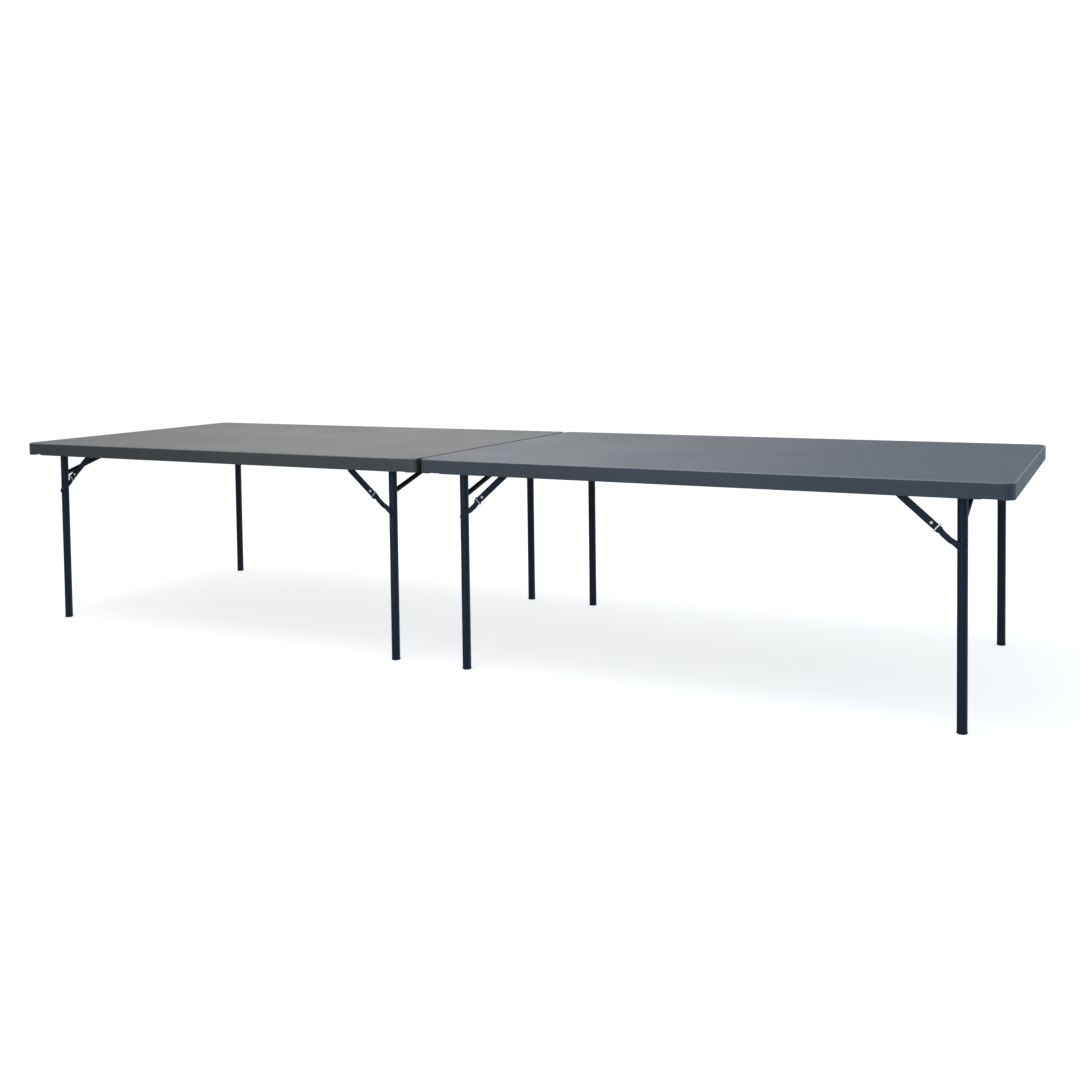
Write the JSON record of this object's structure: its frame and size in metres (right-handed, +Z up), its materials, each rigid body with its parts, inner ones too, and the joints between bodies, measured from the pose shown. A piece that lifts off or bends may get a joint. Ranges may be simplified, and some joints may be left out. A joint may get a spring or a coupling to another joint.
{
  "type": "folding table",
  "caption": "Folding table run of linked moulded sections on hinged tube leg frames, each leg held upright by a folding stay with a sliding lock ring.",
  "frame": {"origin": "on the floor under the centre of the two-section run", "axes": "+X along the run, +Y from the front long side to the rear one, +Z up"},
  "size_m": [3.885, 1.22, 0.74],
  "materials": {
    "left_top": "moulded, fine grain",
    "right_top": "moulded, fine grain",
    "frame_steel": "satin powder coat",
    "strut_steel": "satin powder coat",
    "stay_steel": "satin powder coat",
    "rail_steel": "satin powder coat",
    "screw_steel": "zinc plated",
    "clip_steel": "spring steel",
    "zinc": "bright zinc plate",
    "cap_plastic": "soft black"
  },
  "bodies": {
    "tabletops": {"left_tabletop": "left_top", "left_rail_front": "rail_steel", "left_rail_rear": "rail_steel", "left_rail_screws": "screw_steel", "right_tabletop": "right_top", "right_rail_front": "rail_steel", "right_rail_rear": "rail_steel", "right_rail_screws": "screw_steel", "left_outer_stay_pivots": "frame_steel", "left_inner_stay_pivots": "frame_steel", "right_inner_stay_pivots": "frame_steel", "right_outer_stay_pivots": "frame_steel", "seam_clips": "clip_steel"},
    "left_outer_frame": {"left_outer_leg_front": "frame_steel", "left_outer_leg_rear": "frame_steel", "left_outer_cross_tube": "frame_steel", "left_outer_struts": "strut_steel", "left_outer_foot_caps": "cap_plastic", "left_outer_leg_rivets": "frame_steel"},
    "left_outer_lower_stays": {"left_outer_lower_links": "stay_steel"},
    "left_outer_upper_stays": {"left_outer_upper_links": "stay_steel", "left_outer_elbow_rivets": "zinc"},
    "left_outer_ring_front": {"left_outer_ring_front": "zinc"},
    "left_outer_ring_rear": {"left_outer_ring_rear": "zinc"},
    "left_inner_frame": {"left_inner_leg_front": "frame_steel", "left_inner_leg_rear": "frame_steel", "left_inner_cross_tube": "frame_steel", "left_inner_struts": "strut_steel", "left_inner_foot_caps": "cap_plastic", "left_inner_leg_rivets": "frame_steel"},
    "left_inner_lower_stays": {"left_inner_lower_links": "stay_steel"},
    "left_inner_upper_stays": {"left_inner_upper_links": "stay_steel", "left_inner_elbow_rivets": "zinc"},
    "left_inner_ring_front": {"left_inner_ring_front": "zinc"},
    "left_inner_ring_rear": {"left_inner_ring_rear": "zinc"},
    "right_inner_frame": {"right_inner_leg_front": "frame_steel", "right_inner_leg_rear": "frame_steel", "right_inner_cross_tube": "frame_steel", "right_inner_struts": "strut_steel", "right_inner_foot_caps": "cap_plastic", "right_inner_leg_rivets": "frame_steel"},
    "right_inner_lower_stays": {"right_inner_lower_links": "stay_steel"},
    "right_inner_upper_stays": {"right_inner_upper_links": "stay_steel", "right_inner_elbow_rivets": "zinc"},
    "right_inner_ring_front": {"right_inner_ring_front": "zinc"},
    "right_inner_ring_rear": {"right_inner_ring_rear": "zinc"},
    "right_outer_frame": {"right_outer_leg_front": "frame_steel", "right_outer_leg_rear": "frame_steel", "right_outer_cross_tube": "frame_steel", "right_outer_struts": "strut_steel", "right_outer_foot_caps": "cap_plastic", "right_outer_leg_rivets": "frame_steel"},
    "right_outer_lower_stays": {"right_outer_lower_links": "stay_steel"},
    "right_outer_upper_stays": {"right_outer_upper_links": "stay_steel", "right_outer_elbow_rivets": "zinc"},
    "right_outer_ring_front": {"right_outer_ring_front": "zinc"},
    "right_outer_ring_rear": {"right_outer_ring_rear": "zinc"}
  },
  "joints": [
    {"name": "left_outer_fold", "type": "hinge", "parent": "tabletops", "child": "left_outer_frame", "pos_m": [-1.797, 0, 0.698], "axis": [0, -1, 0], "range_deg": [0, 90]},
    {"name": "left_outer_upper_stay_swing", "type": "hinge", "parent": "tabletops", "child": "left_outer_upper_stays", "pos_m": [-1.615, 0, 0.698], "axis": [0, -1, 0], "range_deg": [-41.5, 0]},
    {"name": "left_outer_lower_stay_swing", "type": "hinge", "parent": "left_outer_frame", "child": "left_outer_lower_stays", "pos_m": [-1.797, 0, 0.538], "axis": [0, -1, 0], "range_deg": [0, 48.9]},
    {"name": "left_outer_ring_front_slide", "type": "slide", "parent": "left_outer_upper_stays", "child": "left_outer_ring_front", "axis": [0.751, 0, 0.6603], "range_m": [0, 0.045]},
    {"name": "left_outer_ring_rear_slide", "type": "slide", "parent": "left_outer_upper_stays", "child": "left_outer_ring_rear", "axis": [0.751, 0, 0.6603], "range_m": [0, 0.045]},
    {"name": "left_inner_fold", "type": "hinge", "parent": "tabletops", "child": "left_inner_frame", "pos_m": [-0.148, 0, 0.698], "axis": [0, 1, 0], "range_deg": [0, 90]},
    {"name": "left_inner_upper_stay_swing", "type": "hinge", "parent": "tabletops", "child": "left_inner_upper_stays", "pos_m": [-0.33, 0, 0.698], "axis": [0, 1, 0], "range_deg": [-41.5, 0]},
    {"name": "left_inner_lower_stay_swing", "type": "hinge", "parent": "left_inner_frame", "child": "left_inner_lower_stays", "pos_m": [-0.148, 0, 0.538], "axis": [0, 1, 0], "range_deg": [0, 48.9]},
    {"name": "left_inner_ring_front_slide", "type": "slide", "parent": "left_inner_upper_stays", "child": "left_inner_ring_front", "axis": [-0.751, 0, 0.6603], "range_m": [0, 0.045]},
    {"name": "left_inner_ring_rear_slide", "type": "slide", "parent": "left_inner_upper_stays", "child": "left_inner_ring_rear", "axis": [-0.751, 0, 0.6603], "range_m": [0, 0.045]},
    {"name": "right_inner_fold", "type": "hinge", "parent": "tabletops", "child": "right_inner_frame", "pos_m": [0.148, 0, 0.698], "axis": [0, -1, 0], "range_deg": [0, 90]},
    {"name": "right_inner_upper_stay_swing", "type": "hinge", "parent": "tabletops", "child": "right_inner_upper_stays", "pos_m": [0.33, 0, 0.698], "axis": [0, -1, 0], "range_deg": [-41.5, 0]},
    {"name": "right_inner_lower_stay_swing", "type": "hinge", "parent": "right_inner_frame", "child": "right_inner_lower_stays", "pos_m": [0.148, 0, 0.538], "axis": [0, -1, 0], "range_deg": [0, 48.9]},
    {"name": "right_inner_ring_front_slide", "type": "slide", "parent": "right_inner_upper_stays", "child": "right_inner_ring_front", "axis": [0.751, 0, 0.6603], "range_m": [0, 0.045]},
    {"name": "right_inner_ring_rear_slide", "type": "slide", "parent": "right_inner_upper_stays", "child": "right_inner_ring_rear", "axis": [0.751, 0, 0.6603], "range_m": [0, 0.045]},
    {"name": "right_outer_fold", "type": "hinge", "parent": "tabletops", "child": "right_outer_frame", "pos_m": [1.797, 0, 0.698], "axis": [0, 1, 0], "range_deg": [0, 90]},
    {"name": "right_outer_upper_stay_swing", "type": "hinge", "parent": "tabletops", "child": "right_outer_upper_stays", "pos_m": [1.615, 0, 0.698], "axis": [0, 1, 0], "range_deg": [-41.5, 0]},
    {"name": "right_outer_lower_stay_swing", "type": "hinge", "parent": "right_outer_frame", "child": "right_outer_lower_stays", "pos_m": [1.797, 0, 0.538], "axis": [0, 1, 0], "range_deg": [0, 48.9]},
    {"name": "right_outer_ring_front_slide", "type": "slide", "parent": "right_outer_upper_stays", "child": "right_outer_ring_front", "axis": [-0.751, 0, 0.6603], "range_m": [0, 0.045]},
    {"name": "right_outer_ring_rear_slide", "type": "slide", "parent": "right_outer_upper_stays", "child": "right_outer_ring_rear", "axis": [-0.751, 0, 0.6603], "range_m": [0, 0.045]}
  ],
  "couplings": [
    {"joint": "left_outer_upper_stay_swing", "follows": "left_outer_fold", "ratio": -0.4591},
    {"joint": "left_outer_lower_stay_swing", "follows": "left_outer_fold", "ratio": 0.5409},
    {"joint": "left_inner_upper_stay_swing", "follows": "left_inner_fold", "ratio": -0.4591},
    {"joint": "left_inner_lower_stay_swing", "follows": "left_inner_fold", "ratio": 0.5409},
    {"joint": "right_inner_upper_stay_swing", "follows": "right_inner_fold", "ratio": -0.4591},
    {"joint": "right_inner_lower_stay_swing", "follows": "right_inner_fold", "ratio": 0.5409},
    {"joint": "right_outer_upper_stay_swing", "follows": "right_outer_fold", "ratio": -0.4591},
    {"joint": "right_outer_lower_stay_swing", "follows": "right_outer_fold", "ratio": 0.5409}
  ]
}
